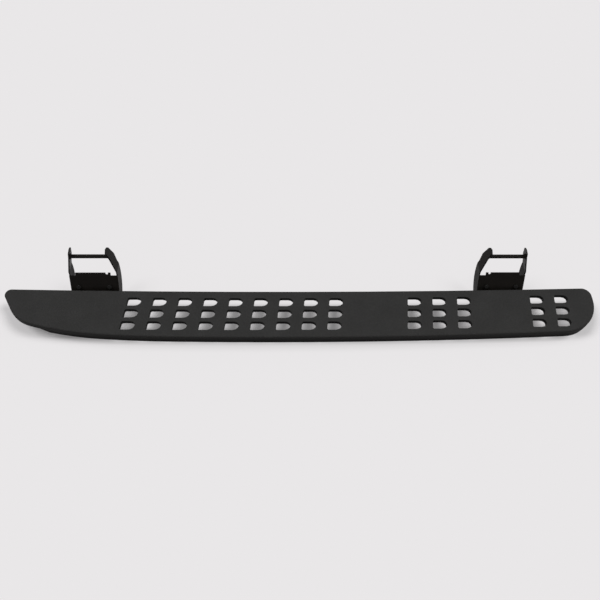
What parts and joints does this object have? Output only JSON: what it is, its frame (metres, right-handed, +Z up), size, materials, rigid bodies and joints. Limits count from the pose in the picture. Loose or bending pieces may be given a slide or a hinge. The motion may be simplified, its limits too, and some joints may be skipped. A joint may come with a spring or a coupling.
{
  "type": "vehicle side step",
  "caption": "Long perforated side step for a pickup's sill, swept back at one end, on pressed channel brackets with cross bars.",
  "frame": {"origin": "on the floor at the middle of the footprint", "axes": "+X along the board towards its square end, +Y inboard to the vehicle, +Z up"},
  "size_m": [1.7916, 0.2524, 0.1745],
  "materials": {
    "board": "charcoal textured powder coat on cast alloy",
    "bracket": "black satin coat on pressed steel",
    "fastener": "black zinc on steel"
  },
  "bodies": {
    "root": {"step_board": "board", "left_bracket": "bracket", "left_cross_bar": "bracket", "left_foot_bolts": "fastener", "left_panel_bolts": "fastener", "right_bracket": "bracket", "right_cross_bar": "bracket", "right_foot_bolts": "fastener", "right_panel_bolts": "fastener"}
  },
  "joints": []
}
